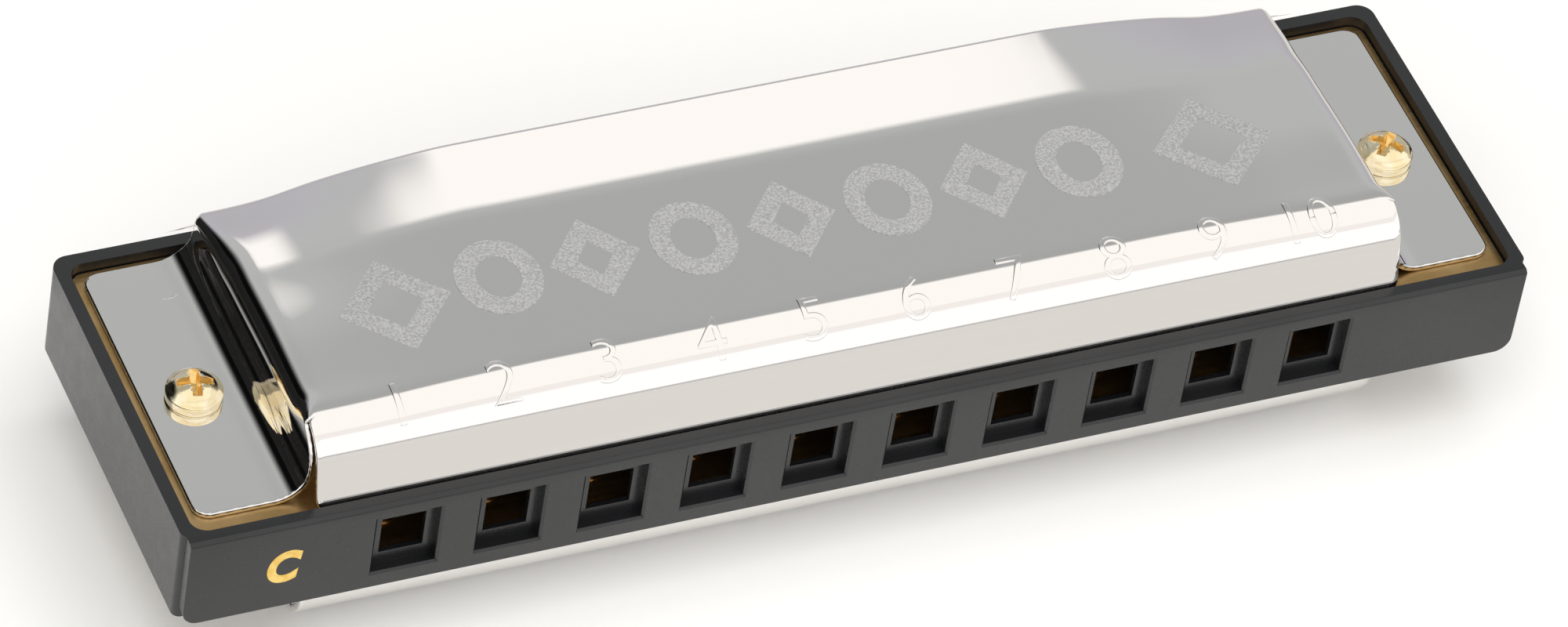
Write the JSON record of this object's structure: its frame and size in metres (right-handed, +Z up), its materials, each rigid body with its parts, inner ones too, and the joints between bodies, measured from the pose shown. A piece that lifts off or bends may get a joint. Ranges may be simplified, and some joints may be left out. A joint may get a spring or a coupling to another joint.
{
  "type": "harmonica",
  "caption": "Diatonic mouth organ: black comb with square air holes, brass reed plates, sprung free reeds and chromed covers held by recessed-head screws.",
  "frame": {"origin": "under the middle of the instrument, level with the ridge of the bottom cover", "axes": "+X along the row of holes from hole 1 to hole 10, -Y out of the mouthpiece, +Z up through the top cover"},
  "size_m": [0.0996, 0.0278, 0.0206],
  "materials": {
    "comb_plastic": "satin moulded",
    "plate_brass": "brushed",
    "reed_brass": "fine ground",
    "rivet_brass": "pressed",
    "cover_chrome": "polished, etched ornament",
    "screw_steel": "turned",
    "screw_gold": "polished plating"
  },
  "bodies": {
    "instrument": {"comb": "comb_plastic", "top_reed_plate": "plate_brass", "bottom_reed_plate": "plate_brass", "top_cover": "cover_chrome", "bottom_cover": "cover_chrome", "blow_reed_roots": "reed_brass", "draw_reed_roots": "reed_brass", "blow_rivets": "rivet_brass", "draw_rivets": "rivet_brass", "top_plate_screws": "screw_steel", "bottom_plate_screws": "screw_steel", "cover_screw_left": "screw_gold", "cover_screw_right": "screw_gold", "cover_nut_left": "screw_gold", "cover_nut_right": "screw_gold"},
    "blow_reed_1": {"blow_reed_1": "reed_brass"},
    "blow_reed_2": {"blow_reed_2": "reed_brass"},
    "blow_reed_3": {"blow_reed_3": "reed_brass"},
    "blow_reed_4": {"blow_reed_4": "reed_brass"},
    "blow_reed_5": {"blow_reed_5": "reed_brass"},
    "blow_reed_6": {"blow_reed_6": "reed_brass"},
    "blow_reed_7": {"blow_reed_7": "reed_brass"},
    "blow_reed_8": {"blow_reed_8": "reed_brass"},
    "blow_reed_9": {"blow_reed_9": "reed_brass"},
    "blow_reed_10": {"blow_reed_10": "reed_brass"},
    "draw_reed_1": {"draw_reed_1": "reed_brass"},
    "draw_reed_2": {"draw_reed_2": "reed_brass"},
    "draw_reed_3": {"draw_reed_3": "reed_brass"},
    "draw_reed_4": {"draw_reed_4": "reed_brass"},
    "draw_reed_5": {"draw_reed_5": "reed_brass"},
    "draw_reed_6": {"draw_reed_6": "reed_brass"},
    "draw_reed_7": {"draw_reed_7": "reed_brass"},
    "draw_reed_8": {"draw_reed_8": "reed_brass"},
    "draw_reed_9": {"draw_reed_9": "reed_brass"},
    "draw_reed_10": {"draw_reed_10": "reed_brass"}
  },
  "joints": [
    {"name": "blow_reed_1_swing", "type": "hinge", "parent": "instrument", "child": "blow_reed_1", "pos_m": [-0.03375, 0.0058, 0.01227], "axis": [1, 0, 0], "range_deg": [-2.8, 2.8], "stiffness_Nm_per_rad": 0.01},
    {"name": "blow_reed_2_swing", "type": "hinge", "parent": "instrument", "child": "blow_reed_2", "pos_m": [-0.02625, 0.0052, 0.01227], "axis": [1, 0, 0], "range_deg": [-2.78, 2.78], "stiffness_Nm_per_rad": 0.01118},
    {"name": "blow_reed_3_swing", "type": "hinge", "parent": "instrument", "child": "blow_reed_3", "pos_m": [-0.01875, 0.0046, 0.01227], "axis": [1, 0, 0], "range_deg": [-2.75, 2.75], "stiffness_Nm_per_rad": 0.01256},
    {"name": "blow_reed_4_swing", "type": "hinge", "parent": "instrument", "child": "blow_reed_4", "pos_m": [-0.01125, 0.004, 0.01227], "axis": [1, 0, 0], "range_deg": [-2.73, 2.73], "stiffness_Nm_per_rad": 0.01417},
    {"name": "blow_reed_5_swing", "type": "hinge", "parent": "instrument", "child": "blow_reed_5", "pos_m": [-0.00375, 0.0034, 0.01227], "axis": [1, 0, 0], "range_deg": [-2.7, 2.7], "stiffness_Nm_per_rad": 0.01607},
    {"name": "blow_reed_6_swing", "type": "hinge", "parent": "instrument", "child": "blow_reed_6", "pos_m": [0.00375, 0.0028, 0.01227], "axis": [1, 0, 0], "range_deg": [-2.67, 2.67], "stiffness_Nm_per_rad": 0.01833},
    {"name": "blow_reed_7_swing", "type": "hinge", "parent": "instrument", "child": "blow_reed_7", "pos_m": [0.01125, 0.0022, 0.01227], "axis": [1, 0, 0], "range_deg": [-2.64, 2.64], "stiffness_Nm_per_rad": 0.02103},
    {"name": "blow_reed_8_swing", "type": "hinge", "parent": "instrument", "child": "blow_reed_8", "pos_m": [0.01875, 0.0016, 0.01227], "axis": [1, 0, 0], "range_deg": [-2.61, 2.61], "stiffness_Nm_per_rad": 0.02429},
    {"name": "blow_reed_9_swing", "type": "hinge", "parent": "instrument", "child": "blow_reed_9", "pos_m": [0.02625, 0.001, 0.01227], "axis": [1, 0, 0], "range_deg": [-2.57, 2.57], "stiffness_Nm_per_rad": 0.02826},
    {"name": "blow_reed_10_swing", "type": "hinge", "parent": "instrument", "child": "blow_reed_10", "pos_m": [0.03375, 0.0004, 0.01227], "axis": [1, 0, 0], "range_deg": [-2.53, 2.53], "stiffness_Nm_per_rad": 0.03314},
    {"name": "draw_reed_1_swing", "type": "hinge", "parent": "instrument", "child": "draw_reed_1", "pos_m": [-0.03375, -0.00756, 0.00717], "axis": [1, 0, 0], "range_deg": [-2.8, 2.8], "stiffness_Nm_per_rad": 0.01},
    {"name": "draw_reed_2_swing", "type": "hinge", "parent": "instrument", "child": "draw_reed_2", "pos_m": [-0.02625, -0.00756, 0.00717], "axis": [1, 0, 0], "range_deg": [-2.78, 2.78], "stiffness_Nm_per_rad": 0.01118},
    {"name": "draw_reed_3_swing", "type": "hinge", "parent": "instrument", "child": "draw_reed_3", "pos_m": [-0.01875, -0.00756, 0.00717], "axis": [1, 0, 0], "range_deg": [-2.75, 2.75], "stiffness_Nm_per_rad": 0.01256},
    {"name": "draw_reed_4_swing", "type": "hinge", "parent": "instrument", "child": "draw_reed_4", "pos_m": [-0.01125, -0.00756, 0.00717], "axis": [1, 0, 0], "range_deg": [-2.73, 2.73], "stiffness_Nm_per_rad": 0.01417},
    {"name": "draw_reed_5_swing", "type": "hinge", "parent": "instrument", "child": "draw_reed_5", "pos_m": [-0.00375, -0.00756, 0.00717], "axis": [1, 0, 0], "range_deg": [-2.7, 2.7], "stiffness_Nm_per_rad": 0.01607},
    {"name": "draw_reed_6_swing", "type": "hinge", "parent": "instrument", "child": "draw_reed_6", "pos_m": [0.00375, -0.00756, 0.00717], "axis": [1, 0, 0], "range_deg": [-2.67, 2.67], "stiffness_Nm_per_rad": 0.01833},
    {"name": "draw_reed_7_swing", "type": "hinge", "parent": "instrument", "child": "draw_reed_7", "pos_m": [0.01125, -0.00756, 0.00717], "axis": [1, 0, 0], "range_deg": [-2.64, 2.64], "stiffness_Nm_per_rad": 0.02103},
    {"name": "draw_reed_8_swing", "type": "hinge", "parent": "instrument", "child": "draw_reed_8", "pos_m": [0.01875, -0.00756, 0.00717], "axis": [1, 0, 0], "range_deg": [-2.61, 2.61], "stiffness_Nm_per_rad": 0.02429},
    {"name": "draw_reed_9_swing", "type": "hinge", "parent": "instrument", "child": "draw_reed_9", "pos_m": [0.02625, -0.00756, 0.00717], "axis": [1, 0, 0], "range_deg": [-2.57, 2.57], "stiffness_Nm_per_rad": 0.02826},
    {"name": "draw_reed_10_swing", "type": "hinge", "parent": "instrument", "child": "draw_reed_10", "pos_m": [0.03375, -0.00756, 0.00717], "axis": [1, 0, 0], "range_deg": [-2.53, 2.53], "stiffness_Nm_per_rad": 0.03314}
  ]
}
